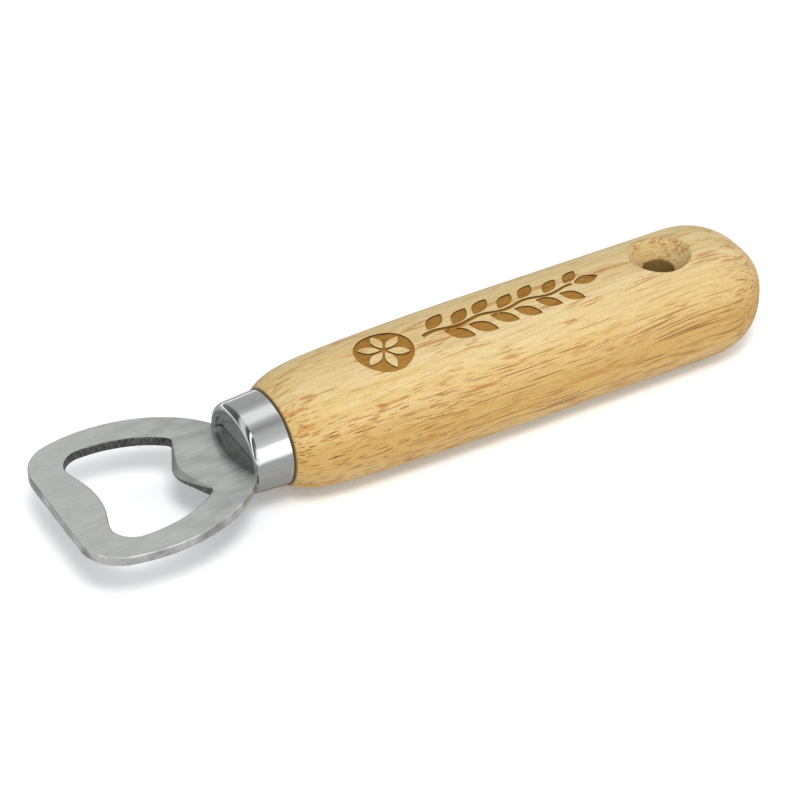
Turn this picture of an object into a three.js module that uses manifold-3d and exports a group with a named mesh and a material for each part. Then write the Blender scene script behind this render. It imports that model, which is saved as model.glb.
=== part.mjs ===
// Bottle opener with a wooden handle: a stamped steel head whose tang is glued into a bore,
// with a polished steel ferrule over the joint. Millimetres, +Z up, head towards -X.
import * as THREE from 'three';
import { mergeVertices } from 'three/addons/utils/BufferGeometryUtils.js';
import Module from 'manifold-3d';

const wasm = await Module();
wasm.setup();

// ---- Head: distances run back from its front edge, on its own mid-plane ----
const PLATE_THICKNESS = 2;
const PLATE_EDGE_BREAK = 0.15;      // chamfer of the stamped edges
const HEAD_WIDTH = 40.1;
const HEAD_WIDEST_AT = 14.7;
const HEAD_REACH = 37.4;            // front edge to the ferrule's front face
const HEAD_CORNER_RADIUS = 8.8;

// ---- Cap opening ----
const CAP_SKIRT_DIAMETER = 28.6;    // crimped crown cap
const CAP_CLEARANCE = 0.25;         // beside the skirt, each side
const OPENING_WIDEST_AT = 12.5;
const OPENING_REAR_REACH = 20.4;    // widest place to the rear end of the side curves' ellipse
const POCKET_FRONT_AT = 6.8;        // foremost point of the two rounded front pockets
const POCKET_RADIUS = 4.9;
const LIP_CREST_AT = 8.85;          // the lip presses on the cap's top
const LIP_HALF_WIDTH = 10.4;
const LIP_CREST_EASE = 5.5;         // how far the crest's direction carries sideways
const LIP_FOOT_EASE = 3;
const TOOTH_TIP_AT = 24.95;         // the tooth hooks under the cap's skirt
const TOOTH_TIP_RADIUS = 6.3;
const TOOTH_FLANK_ANGLE = THREE.MathUtils.degToRad(26.5);
const TOOTH_CORNER_RADIUS = 1.2;

// ---- Tang, hidden in the handle ----
const NECK_SHOULDER_DEPTH = 2.5;    // ferrule's front face to the neck's square shoulders
const NECK_SIDE_CLEARANCE = 0.5;    // neck to the ferrule's side, where it goes in
const NECK_ENTRY_DEPTH = 0.35;
const NECK_LEDGE = 1.4;             // the neck stands out this far beside the tang, or more
const TANG_WIDTH = 7;
const TANG_LENGTH = 40;
const TANG_END_RADIUS = 2;
const TANG_NOTCH_RADIUS = 1;        // round notches that key the tang in the adhesive
const TANG_NOTCH_SPACING = 9;
const TANG_NOTCH_PAIRS = 3;

// ---- Ferrule ----
const FERRULE_LENGTH = 8.1;
const FERRULE_WALL = 0.6;
const FERRULE_FRONT_WIDTH = 19.8;
const FERRULE_FRONT_HEIGHT = 17;
const FERRULE_REAR_WIDTH = 20.4;
const FERRULE_REAR_HEIGHT = 18.4;
const FERRULE_NOSE_RADIUS = 1.4;    // rounding of the front edge, above and below
const FERRULE_NOSE_SIDE = 0.9;      // the same at the sides, where the rim is narrow
const FERRULE_REAR_BREAK = 0.15;
const FERRULE_INNER_CORNER = 0.3;
const FERRULE_ROUNDNESS = 2.1;      // superellipse exponent: 2 is an ellipse
const RECESS_DEPTH = 1.6;           // the front is dished in around the head's neck
const RECESS_SIDE_MARGIN = 1.5;
const RECESS_TOP_MARGIN = 3.5;
const RECESS_LIP = 0.55;            // rounding of the recess's edge
const RECESS_ROUNDNESS = 2.3;
const SLOT_CLEARANCE = 0.3;         // above and below the plate
const NECK_CLEARANCE = 0.45;        // slot to the neck's curved edge

// ---- Handle: distances run back from its shoulder ----
const HANDLE_LENGTH = 111.5;
const HANDLE_WIDTH = 27.8;
const HANDLE_HEIGHT = 24.8;
const HANDLE_ROUNDNESS = 2.5;
const TAPER_LENGTH = 50;            // the handle thins slightly over this stretch
const TAPER_WIDTH_LOSS = 2.8;
const TAPER_HEIGHT_LOSS = 2.5;
const SHOULDER_SWELL_LENGTH = 3.8;  // how soon the wood swells out behind the ferrule
const SHOULDER_PROUD = 0.05;        // wood over ferrule at the joint
const BUTT_LENGTH = 15.3;           // the rounded end
const BUTT_ROUNDNESS = 2.2;
const SPIGOT_CLEARANCE = 0.3;       // inside the ferrule
const SPIGOT_END_CLEARANCE = 0.3;   // to the neck's shoulders
const PLATE_BELOW_AXIS = 1;         // head's mid-plane below the handle's axis

// ---- Hanging hole ----
const HANG_HOLE_FROM_BUTT = 22.3;
const HANG_HOLE_DIAMETER = 6.6;
const COUNTERSINK_DIAMETER = 13.3;
const COUNTERSINK_DEPTH = 3.75;
const HANG_HOLE_LOWER_CHAMFER = 0.5;

// ---- Adhesive ----
const ADHESIVE_GAP = 0.3;           // drawn clear of the tang and of the bore
const ADHESIVE_FILM = 0.4;          // thinnest place, beside the tang's edges
const ADHESIVE_PLUG = 1.2;          // behind the tang's end

// ---- Fineness ----
const RING_STEPS = 64;
const NOSE_STEPS = 5;
const LIP_STEPS = 3;
const BUTT_STEPS = 9;
const LIP_CURVE_STEPS = 10;
const BORE_STEPS = 32;
const NECK_CUT_STEPS = 96;
const FIRST_RING_GAP = 0.5;         // the handle's rings start this close at the shoulder
const RING_GAP_GROWTH = 0.25;
const CHORD_ERROR = 0.02;           // of the plane outlines
const SEARCH_STEPS = 60;
const CUT_MARGIN = 2;               // cutters run this far past what they cut
const SAME_POINT = 1e-3;
const MERGE_TOLERANCE = 1e-4;

// ---- Places that follow ----
const overallLength = HEAD_REACH + FERRULE_LENGTH + HANDLE_LENGTH;
const headFrontX = -overallLength / 2;
const ferruleFrontX = headFrontX + HEAD_REACH;
const shoulderX = ferruleFrontX + FERRULE_LENGTH;
const axisZ = HANDLE_HEIGHT / 2;
const plateZ = axisZ - PLATE_BELOW_AXIS;
const neckShoulderAt = HEAD_REACH + NECK_SHOULDER_DEPTH;
const tangEndAt = neckShoulderAt + TANG_LENGTH;
const tangRootRadius = SPIGOT_END_CLEARANCE;    // the root's fillet ends before the spigot
const neckStubHalf = TANG_WIDTH / 2 + tangRootRadius + NECK_LEDGE;
const spigotLength = FERRULE_LENGTH - NECK_SHOULDER_DEPTH - SPIGOT_END_CLEARANCE;
const spigotEndX = shoulderX - spigotLength;
const tangEndX = headFrontX + tangEndAt;
const ferruleFrontWall = RECESS_DEPTH + FERRULE_WALL;
const tangSlotHalfWidth = TANG_WIDTH / 2 + ADHESIVE_GAP;
const tangSlotHalfHeight = PLATE_THICKNESS / 2 + ADHESIVE_GAP;
const adhesiveRadius = Math.hypot(tangSlotHalfWidth, tangSlotHalfHeight) + ADHESIVE_FILM;
const adhesiveEndX = tangEndX + ADHESIVE_GAP + ADHESIVE_PLUG;
const boreRadius = adhesiveRadius + ADHESIVE_GAP;
const boreEndX = adhesiveEndX + ADHESIVE_GAP;

// ---- Solids ----
function solidOf(geometry) {
  const bare = geometry.clone();
  bare.deleteAttribute('normal');
  bare.deleteAttribute('uv');
  const merged = mergeVertices(bare, MERGE_TOLERANCE);
  const corners = Array.from(merged.index.array);
  const triVerts = [];
  for (let i = 0; i < corners.length; i += 3) {
    const [a, b, c] = corners.slice(i, i + 3);
    if (a !== b && b !== c && c !== a) triVerts.push(a, b, c);
  }
  const skin = new wasm.Mesh({
    numProp: 3,
    vertProperties: merged.attributes.position.array,
    triVerts: Uint32Array.from(triVerts),
  });
  return new wasm.Manifold(skin);
}

function meshOf(name, solid, material) {
  const { vertProperties, triVerts } = solid.getMesh();
  const geometry = new THREE.BufferGeometry();
  geometry.setAttribute('position', new THREE.BufferAttribute(Float32Array.from(vertProperties), 3));
  geometry.setIndex(Array.from(triVerts));
  geometry.computeVertexNormals();
  const mesh = new THREE.Mesh(geometry, material);
  mesh.name = name;
  return mesh;
}

function box(x0, x1, halfWidth, halfHeight) {
  const geometry = new THREE.BoxGeometry(x1 - x0, 2 * halfWidth, 2 * halfHeight);
  return solidOf(geometry.translate((x0 + x1) / 2, 0, 0));
}

function rodAlongX(x0, x1, radius) {
  const geometry = new THREE.CylinderGeometry(radius, radius, x1 - x0, BORE_STEPS);
  return solidOf(geometry.rotateZ(Math.PI / 2).translate((x0 + x1) / 2, 0, 0));
}

// A closed skin over superelliptic rings {x, w, h, n}, w and h being half-sizes. Half a step of
// turn leaves narrow flats on top, underneath and at the sides, and they lie at the full sizes.
// A ring of no size closes the skin.
function loft(rings) {
  const positions = [];
  for (const { x, w, h, n } of rings) {
    const toFlat = Math.cos(Math.PI / RING_STEPS) ** (-2 / n);
    for (let j = 0; j < RING_STEPS; j += 1) {
      const turn = ((j + 0.5) / RING_STEPS) * 2 * Math.PI;
      const across = Math.sign(Math.cos(turn)) * Math.abs(Math.cos(turn)) ** (2 / n);
      const up = Math.sign(Math.sin(turn)) * Math.abs(Math.sin(turn)) ** (2 / n);
      positions.push(x, w * across * toFlat, h * up * toFlat);
    }
  }
  const index = [];
  for (let i = 0; i + 1 < rings.length; i += 1) {
    for (let j = 0; j < RING_STEPS; j += 1) {
      const a = i * RING_STEPS + j;
      const b = i * RING_STEPS + ((j + 1) % RING_STEPS);
      index.push(a, b, a + RING_STEPS, b, b + RING_STEPS, a + RING_STEPS);
    }
  }
  const geometry = new THREE.BufferGeometry();
  geometry.setAttribute('position', new THREE.Float32BufferAttribute(positions, 3));
  geometry.setIndex(index);
  return solidOf(geometry);
}

// ---- Plane outlines: the far half (y >= 0) is drawn and mirrored, and the whole runs
// counter-clockwise ----
function arc(x, y, radiusX, radiusY, from, to) {
  const stepTurn = 2 * Math.acos(1 - CHORD_ERROR / Math.max(radiusX, radiusY));
  const steps = Math.max(2, Math.ceil(Math.abs(to - from) / stepTurn));
  return new THREE.EllipseCurve(x, y, radiusX, radiusY, from, to, to < from).getPoints(steps);
}

function distanceToEllipse(ellipse, point) {
  const { x, length, width } = ellipse;
  const gap = (turn) => Math.hypot(x + length * Math.cos(turn) - point.x, width * Math.sin(turn) - point.y);
  let low = 0;
  let high = Math.PI;
  for (let i = 0; i < SEARCH_STEPS; i += 1) {
    const third = (high - low) / 3;
    if (gap(low + third) < gap(high - third)) high -= third;
    else low += third;
  }
  return { gap: gap(low), turn: low };
}

// Slides a circle along start + s * direction until it touches the ellipse from inside.
function circleInEllipse(ellipse, radius, start, direction) {
  let low = 0;
  let high = ellipse.width;
  const centre = (s) => ({ x: start.x + s * direction.x, y: start.y + s * direction.y });
  for (let i = 0; i < SEARCH_STEPS; i += 1) {
    const middle = (low + high) / 2;
    if (distanceToEllipse(ellipse, centre(middle)).gap > radius) low = middle;
    else high = middle;
  }
  const { x, y } = centre(low);
  const { turn } = distanceToEllipse(ellipse, { x, y });
  const touchX = ellipse.x + ellipse.length * Math.cos(turn);
  const touchY = ellipse.width * Math.sin(turn);
  return { x, y, turn, touch: Math.atan2(touchY - y, touchX - x) };
}

function mirrored(half) {
  const kept = half.filter((point, i) => i === 0 || point.distanceTo(half[i - 1]) > SAME_POINT);
  const back = kept.filter((point) => point.y > SAME_POINT).reverse();
  const near = back.map((point) => new THREE.Vector2(point.x, -point.y));
  return [...kept, ...near].reverse();
}

function tangHalf() {
  const half = TANG_WIDTH / 2;
  const root = neckShoulderAt + tangRootRadius;
  const points = arc(root, half + tangRootRadius, tangRootRadius, tangRootRadius, -Math.PI, -Math.PI / 2);
  for (let i = 0; i < TANG_NOTCH_PAIRS; i += 1) {
    const notchAt = tangEndAt - TANG_END_RADIUS - (TANG_NOTCH_PAIRS - i - 0.5) * TANG_NOTCH_SPACING;
    points.push(...arc(notchAt, half, TANG_NOTCH_RADIUS, TANG_NOTCH_RADIUS, -Math.PI, 0));
  }
  const cornerAt = tangEndAt - TANG_END_RADIUS;
  points.push(...arc(cornerAt, half - TANG_END_RADIUS, TANG_END_RADIUS, TANG_END_RADIUS, Math.PI / 2, 0));
  return points;
}

// The ellipse of the head's sides and neck: it enters the ferrule just inside its width.
function headEllipse() {
  const width = HEAD_WIDTH / 2;
  const neckHalf = FERRULE_FRONT_WIDTH / 2 - NECK_SIDE_CLEARANCE;
  const neckAt = HEAD_REACH + NECK_ENTRY_DEPTH - HEAD_WIDEST_AT;
  return { x: HEAD_WIDEST_AT, length: neckAt / Math.sqrt(1 - (neckHalf / width) ** 2), width };
}

// The turn where the neck's curved edge ends: at the shoulder, or before it, where the neck is
// down to its ledges and runs on straight.
function neckEdgeTurn({ x, length, width }) {
  const shoulderAcross = (neckShoulderAt - x) / length;
  const stubAcross = Math.sqrt(1 - (neckStubHalf / width) ** 2);
  return Math.acos(Math.min(shoulderAcross, stubAcross));
}

function headOutline() {
  const side = headEllipse();
  const corner = circleInEllipse(side, HEAD_CORNER_RADIUS, { x: HEAD_CORNER_RADIUS, y: 0 }, { x: 0, y: 1 });
  const neckTurn = neckEdgeTurn(side);
  const half = [
    new THREE.Vector2(0, 0),
    ...arc(corner.x, corner.y, HEAD_CORNER_RADIUS, HEAD_CORNER_RADIUS, Math.PI, corner.touch),
    ...arc(side.x, 0, side.length, side.width, corner.turn, neckTurn),
    new THREE.Vector2(neckShoulderAt, side.width * Math.sin(neckTurn)),
    ...tangHalf(),
    new THREE.Vector2(tangEndAt, 0),
  ];
  return mirrored(half);
}

function lipHalf(endX) {
  const crest = new THREE.Vector2(LIP_CREST_AT, 0);
  const crestEase = new THREE.Vector2(LIP_CREST_AT, LIP_CREST_EASE);
  const footEase = new THREE.Vector2(endX, LIP_HALF_WIDTH - LIP_FOOT_EASE);
  const foot = new THREE.Vector2(endX, LIP_HALF_WIDTH);
  return new THREE.CubicBezierCurve(crest, crestEase, footEase, foot).getPoints(LIP_CURVE_STEPS);
}

function openingOutline() {
  const halfWidth = CAP_SKIRT_DIAMETER / 2 + CAP_CLEARANCE;
  const side = { x: OPENING_WIDEST_AT, length: OPENING_REAR_REACH, width: halfWidth };
  const pocketX = POCKET_FRONT_AT + POCKET_RADIUS;
  const pocket = circleInEllipse(side, POCKET_RADIUS, { x: pocketX, y: 0 }, { x: 0, y: 1 });
  const pocketFrom = Math.PI - Math.asin((LIP_HALF_WIDTH - pocket.y) / POCKET_RADIUS);
  const flank = { x: Math.sin(TOOTH_FLANK_ANGLE), y: Math.cos(TOOTH_FLANK_ANGLE) };
  const tipCentre = TOOTH_TIP_AT + TOOTH_TIP_RADIUS;
  const flankGap = TOOTH_TIP_RADIUS + TOOTH_CORNER_RADIUS;
  const cornerStart = { x: tipCentre - flankGap * flank.y, y: flankGap * flank.x };
  const corner = circleInEllipse(side, TOOTH_CORNER_RADIUS, cornerStart, flank);
  const half = [
    ...lipHalf(pocket.x + POCKET_RADIUS * Math.cos(pocketFrom)),
    ...arc(pocket.x, pocket.y, POCKET_RADIUS, POCKET_RADIUS, pocketFrom, pocket.touch),
    ...arc(side.x, 0, side.length, side.width, pocket.turn, corner.turn),
    ...arc(corner.x, corner.y, TOOTH_CORNER_RADIUS, TOOTH_CORNER_RADIUS, corner.touch, -TOOTH_FLANK_ANGLE),
    ...arc(tipCentre, 0, TOOTH_TIP_RADIUS, TOOTH_TIP_RADIUS, Math.PI - TOOTH_FLANK_ANGLE, Math.PI),
  ];
  return mirrored(half);
}

// ---- Pieces ----
function openerHead() {
  const shape = new THREE.Shape(headOutline());
  shape.holes.push(new THREE.Path(openingOutline()));
  const geometry = new THREE.ExtrudeGeometry(shape, {
    depth: PLATE_THICKNESS - 2 * PLATE_EDGE_BREAK,
    bevelThickness: PLATE_EDGE_BREAK,
    bevelSize: PLATE_EDGE_BREAK,
    bevelOffset: -PLATE_EDGE_BREAK,
    bevelSegments: 1,
  });
  geometry.translate(0, 0, PLATE_EDGE_BREAK - PLATE_THICKNESS / 2);
  const steel = new THREE.MeshStandardMaterial({ color: 0xa6a9a6, roughness: 0.38, metalness: 1 });
  return meshOf('opener_head', solidOf(geometry), steel);
}

// The ferrule's outer half-sizes at a distance behind its front face.
function ferruleHalves(at) {
  const share = at / FERRULE_LENGTH;
  return {
    w: THREE.MathUtils.lerp(FERRULE_FRONT_WIDTH, FERRULE_REAR_WIDTH, share) / 2,
    h: THREE.MathUtils.lerp(FERRULE_FRONT_HEIGHT, FERRULE_REAR_HEIGHT, share) / 2,
  };
}

function ferruleRing(at, inset) {
  const { w, h } = ferruleHalves(at);
  return { x: at, w: w - inset, h: h - inset, n: FERRULE_ROUNDNESS };
}

function pole(x) {
  return { x, w: 0, h: 0, n: FERRULE_ROUNDNESS };
}

// The slot and the notches beside it are the neck's own outline, with clearance all round.
function neckCutter() {
  const { x, length, width } = headEllipse();
  const height = PLATE_THICKNESS + 2 * SLOT_CLEARANCE;
  const geometry = new THREE.CylinderGeometry(1, 1, height, NECK_CUT_STEPS).rotateX(Math.PI / 2);
  geometry.scale(length + NECK_CLEARANCE, width + NECK_CLEARANCE, 1);
  const edges = solidOf(geometry.translate(x - HEAD_REACH, 0, 0));
  const stub = box(0, NECK_SHOULDER_DEPTH, neckStubHalf + NECK_CLEARANCE, height / 2);
  return edges.add(stub).translate([0, 0, -PLATE_BELOW_AXIS]);
}

function recessRings() {
  const { w, h } = ferruleHalves(0);
  const wall = { w: w - RECESS_SIDE_MARGIN, h: h - RECESS_TOP_MARGIN, n: RECESS_ROUNDNESS };
  const rings = [pole(RECESS_DEPTH), { x: RECESS_DEPTH, ...wall }];
  for (let i = 0; i <= LIP_STEPS; i += 1) {
    const turn = (i / LIP_STEPS) * (Math.PI / 2);
    const out = RECESS_LIP * (1 - Math.cos(turn));
    rings.push({ x: RECESS_LIP * (1 - Math.sin(turn)), w: wall.w + out, h: wall.h + out, n: wall.n });
  }
  return rings;
}

function noseRings() {
  const rings = [];
  for (let i = 0; i <= NOSE_STEPS; i += 1) {
    const turn = (i / NOSE_STEPS) * (Math.PI / 2);
    const x = FERRULE_NOSE_RADIUS * (1 - Math.cos(turn));
    const full = ferruleRing(x, 0);
    const left = 1 - Math.sin(turn);
    const w = full.w - FERRULE_NOSE_SIDE * left;
    const h = full.h - FERRULE_NOSE_RADIUS * left;
    rings.push({ ...full, w, h });
  }
  return rings;
}

function ferrule() {
  const skin = loft([
    ...recessRings(),
    ...noseRings(),
    ferruleRing(FERRULE_LENGTH - FERRULE_REAR_BREAK, 0),
    ferruleRing(FERRULE_LENGTH, FERRULE_REAR_BREAK),
    ferruleRing(FERRULE_LENGTH, FERRULE_WALL),
    ferruleRing(ferruleFrontWall + FERRULE_INNER_CORNER, FERRULE_WALL),
    ferruleRing(ferruleFrontWall, FERRULE_WALL + FERRULE_INNER_CORNER),
    pole(ferruleFrontWall),
  ]);
  const chrome = new THREE.MeshStandardMaterial({ color: 0xc9cccd, roughness: 0.12, metalness: 1 });
  return meshOf('ferrule', skin.subtract(neckCutter()), chrome);
}

// The handle's section at a distance behind its shoulder, before the butt is rounded.
function handleRing(at) {
  const swell = Math.exp(-at / SHOULDER_SWELL_LENGTH);
  const taper = Math.max(0, 1 - at / TAPER_LENGTH) ** 2;
  const shoulderWidth = FERRULE_REAR_WIDTH + 2 * SHOULDER_PROUD;
  const shoulderHeight = FERRULE_REAR_HEIGHT + 2 * SHOULDER_PROUD;
  const widthSwell = HANDLE_WIDTH - TAPER_WIDTH_LOSS - shoulderWidth;
  const heightSwell = HANDLE_HEIGHT - TAPER_HEIGHT_LOSS - shoulderHeight;
  return {
    x: at,
    w: (HANDLE_WIDTH - TAPER_WIDTH_LOSS * taper - widthSwell * swell) / 2,
    h: (HANDLE_HEIGHT - TAPER_HEIGHT_LOSS * taper - heightSwell * swell) / 2,
    n: THREE.MathUtils.lerp(HANDLE_ROUNDNESS, FERRULE_ROUNDNESS, swell),
  };
}

function buttRings() {
  const start = HANDLE_LENGTH - BUTT_LENGTH;
  const rings = [];
  for (let i = 1; i <= BUTT_STEPS; i += 1) {
    const reach = i === BUTT_STEPS ? 1 : Math.sin((i / BUTT_STEPS) * (Math.PI / 2));
    const size = (1 - reach ** BUTT_ROUNDNESS) ** (1 / BUTT_ROUNDNESS);
    const { w, h, n } = handleRing(start);
    rings.push({ x: start + BUTT_LENGTH * reach, w: w * size, h: h * size, n });
  }
  return rings;
}

function handleBody() {
  const inset = FERRULE_WALL + SPIGOT_CLEARANCE;
  const spigotFront = ferruleRing(FERRULE_LENGTH - spigotLength, inset);
  const spigotRear = ferruleRing(FERRULE_LENGTH, inset);
  const rings = [pole(-spigotLength), { ...spigotFront, x: -spigotLength }, { ...spigotRear, x: 0 }];
  for (let at = 0; at < TAPER_LENGTH; at += FIRST_RING_GAP + at * RING_GAP_GROWTH) {
    rings.push(handleRing(at));
  }
  rings.push(handleRing(TAPER_LENGTH), handleRing(HANDLE_LENGTH - BUTT_LENGTH), ...buttRings());
  return loft(rings);
}

// Turned about the hole's own upright axis: bore, countersink above and a small chamfer below.
function hangHoleCutter() {
  const top = HANDLE_HEIGHT / 2;
  const boreR = HANG_HOLE_DIAMETER / 2;
  const sinkR = COUNTERSINK_DIAMETER / 2;
  const sinkSlope = (sinkR - boreR) / COUNTERSINK_DEPTH;
  const chamferR = boreR + HANG_HOLE_LOWER_CHAMFER + CUT_MARGIN;
  const profile = [
    new THREE.Vector2(0, -top - CUT_MARGIN),
    new THREE.Vector2(chamferR, -top - CUT_MARGIN),
    new THREE.Vector2(boreR, -top + HANG_HOLE_LOWER_CHAMFER),
    new THREE.Vector2(boreR, top - COUNTERSINK_DEPTH),
    new THREE.Vector2(sinkR + CUT_MARGIN * sinkSlope, top + CUT_MARGIN),
    new THREE.Vector2(0, top + CUT_MARGIN),
  ];
  const geometry = new THREE.LatheGeometry(profile, BORE_STEPS).rotateX(Math.PI / 2);
  return solidOf(geometry.translate(HANDLE_LENGTH - HANG_HOLE_FROM_BUTT, 0, 0));
}

function handle() {
  const bore = rodAlongX(-spigotLength - CUT_MARGIN, boreEndX - shoulderX, boreRadius);
  const solid = handleBody().subtract(bore.translate([0, 0, -PLATE_BELOW_AXIS])).subtract(hangHoleCutter());
  const wood = new THREE.MeshStandardMaterial({ color: 0xe0ba79, roughness: 0.62, metalness: 0 });
  return meshOf('handle', solid, wood);
}

// A plug of adhesive the shape of the bore, with the tang's own space left in it.
function tangAdhesive() {
  const length = adhesiveEndX - spigotEndX - ADHESIVE_GAP;
  const tangSpace = box(-CUT_MARGIN, length - ADHESIVE_PLUG, tangSlotHalfWidth, tangSlotHalfHeight);
  const epoxy = new THREE.MeshStandardMaterial({ color: 0xcfc6a4, roughness: 0.35, metalness: 0 });
  return meshOf('tang_adhesive', rodAlongX(0, length, adhesiveRadius).subtract(tangSpace), epoxy);
}

function placed(mesh, x, z) {
  mesh.position.set(x, 0, z);
  return mesh;
}

const opener = new THREE.Group();
opener.add(
  placed(openerHead(), headFrontX, plateZ),
  placed(ferrule(), ferruleFrontX, axisZ),
  placed(handle(), shoulderX, axisZ),
  placed(tangAdhesive(), spigotEndX + ADHESIVE_GAP, plateZ),
);

export default opener;
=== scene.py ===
# Souvenir bottle opener: a brushed steel head, a polished ferrule and a rounded wooden handle.
# Shapes are worked out in millimetres, in the part's frame, and turned into metres as meshes.
import math

import bmesh
import bpy
import numpy as np
from mathutils import Matrix, Vector


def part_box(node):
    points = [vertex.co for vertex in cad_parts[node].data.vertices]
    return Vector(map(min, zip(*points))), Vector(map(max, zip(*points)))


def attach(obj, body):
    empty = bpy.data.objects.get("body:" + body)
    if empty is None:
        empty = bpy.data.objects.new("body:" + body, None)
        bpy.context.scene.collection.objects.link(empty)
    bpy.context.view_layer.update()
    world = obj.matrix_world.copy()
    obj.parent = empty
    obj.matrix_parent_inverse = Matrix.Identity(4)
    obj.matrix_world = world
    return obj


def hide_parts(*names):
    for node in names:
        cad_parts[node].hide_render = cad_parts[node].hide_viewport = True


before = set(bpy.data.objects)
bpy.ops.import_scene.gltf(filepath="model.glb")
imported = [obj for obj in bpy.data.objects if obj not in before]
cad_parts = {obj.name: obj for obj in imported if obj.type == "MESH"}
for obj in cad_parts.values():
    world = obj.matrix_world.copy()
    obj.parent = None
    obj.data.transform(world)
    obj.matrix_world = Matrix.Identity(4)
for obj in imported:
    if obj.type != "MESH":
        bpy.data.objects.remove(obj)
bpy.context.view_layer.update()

MM = 0.001


def box_mm(node):
    low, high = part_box(node)
    return low / MM, high / MM


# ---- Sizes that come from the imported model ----
head_low, head_high = box_mm("opener_head")
ferrule_low, ferrule_high = box_mm("ferrule")
handle_low, handle_high = box_mm("handle")

HEAD_FRONT_X = head_low.x
HEAD_WIDTH = head_high.y - head_low.y
PLATE_TOP = head_high.z
PLATE_BOTTOM = head_low.z
PLATE_Z = (PLATE_TOP + PLATE_BOTTOM) / 2
FERRULE_FRONT_X = ferrule_low.x
FERRULE_LENGTH = ferrule_high.x - ferrule_low.x
FERRULE_REAR_WIDTH = ferrule_high.y - ferrule_low.y
FERRULE_REAR_HEIGHT = ferrule_high.z - ferrule_low.z
SHOULDER_X = ferrule_high.x
HANDLE_LENGTH = handle_high.x - SHOULDER_X
HANDLE_WIDTH = handle_high.y - handle_low.y
HANDLE_HEIGHT = handle_high.z - handle_low.z
AXIS_Z = (handle_low.z + handle_high.z) / 2
SPIGOT_LENGTH = SHOULDER_X - handle_low.x
HEAD_REACH = FERRULE_FRONT_X - HEAD_FRONT_X
TANG_END_AT = head_high.x - HEAD_FRONT_X

# ---- Head: distances run back from its front edge ----
HEAD_WIDEST_AT = 14.7
HEAD_CORNER_RADIUS = 8.8
OPENING_HALF_WIDTH = 14.55
OPENING_WIDEST_AT = 12.5
OPENING_REAR_REACH = 20.4
POCKET_FRONT_AT = 6.8
POCKET_RADIUS = 4.9
LIP_CREST_AT = 8.85
LIP_HALF_WIDTH = 10.4
LIP_CREST_EASE = 5.5
LIP_FOOT_EASE = 3
TOOTH_TIP_AT = 24.95
TOOTH_TIP_RADIUS = 6.3
TOOTH_FLANK_ANGLE = math.radians(26.5)
TOOTH_CORNER_RADIUS = 1.2
NECK_HALF_WIDTH = 9.4
NECK_ENTRY_DEPTH = 0.35
NECK_SHOULDER_DEPTH = 2.5
TANG_HALF_WIDTH = 3.5
TANG_ROOT_RADIUS = 0.3
TANG_END_RADIUS = 2
TANG_NOTCH_RADIUS = 1
TANG_NOTCH_SPACING = 9
TANG_NOTCH_PAIRS = 3
EDGE_ROUNDING = 0.16
TOOTH_TOP_ROUNDING = 1.5
TOOTH_UNDER_ROUNDING = 0.35
TOOTH_DRESSED_HALF_WIDTH = 9.5
TOOTH_DRESSED_FROM = TOOTH_TIP_AT - 0.5
TOOTH_DRESSED_TO = TOOTH_TIP_AT + 6

# ---- Ferrule ----
FERRULE_FRONT_WIDTH = 19.8
FERRULE_FRONT_HEIGHT = 17
FERRULE_WALL = 0.6
FERRULE_NOSE_RADIUS = 1.4
FERRULE_NOSE_SIDE = 0.9
FERRULE_REAR_BREAK = 0.45
FERRULE_INNER_CORNER = 0.3
FERRULE_ROUNDNESS = 2.1
RECESS_DEPTH = 1.6
RECESS_SIDE_MARGIN = 1.5
RECESS_TOP_MARGIN = 3.5
RECESS_FILLET = 0.8
RECESS_LIP = 0.55
RECESS_ROUNDNESS = 2.3
SLOT_CLEARANCE = 0.03  # above and below the plate
NECK_CLEARANCE = 0.12  # beside the neck
NECK_OFFSET = -0.09  # the slot was cut slightly off the middle

# ---- Handle: distances run back from its shoulder ----
HANDLE_ROUNDNESS = 2.5
TAPER_LENGTH = 50
TAPER_WIDTH_LOSS = 2.8
TAPER_HEIGHT_LOSS = 2.5
SHOULDER_SWELL_LENGTH = 3.8
SHOULDER_PROUD = 0.05
SHOULDER_GROOVE = ((0.0, 0.7), (0.06, 0.36), (0.16, 0.12), (0.3, 0.0))  # (distance, depth)
BUTT_LENGTH = 15.3
BUTT_ROUNDNESS = 2.2
SPIGOT_CLEARANCE = 0.3
SPIGOT_INSET = FERRULE_WALL + SPIGOT_CLEARANCE
HANG_HOLE_FROM_BUTT = 22.3
HANG_HOLE_RADIUS = 3.3
COUNTERSINK_RADIUS = 6.65
COUNTERSINK_DEPTH = 3.75
HANG_HOLE_LOWER_CHAMFER = 0.5
TANG_BORE_RADIUS = 4.7
TANG_BORE_END_X = 8.1

# ---- Burned ornament on the handle's top ----
BURN_DEPTH = 0.3
BURN_FROM, BURN_TO = 8.0, 90.0  # behind the shoulder
BURN_FOOT = 4  # above the handle's axis, well under the sunk floor
ROSETTE_AT = Vector((-8.3, -0.8))
ROSETTE_RADIUS = 6.0
ROSETTE_PETALS = 6
ROSETTE_RIM = 0.8
PETAL_FROM = 0.7
PETAL_WIDTH = 2.0
SPRIG_FROM_X = 0.4
SPRIG_TO_X = 40.2
SPRIG_LEAVES = 7
STEM_HALF_WIDTH = 0.5
STEM_TAPER = 0.16
STEM_SWAY = 0.45
LEAF_SIZE = (6.3, 3.1)
LEAF_ANGLE = math.radians(37)
LEAF_OFFSET = 0.85
LEAF_SHRINK = 0.03
LAST_LEAF_SIZE = (5.6, 2.8)

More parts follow.
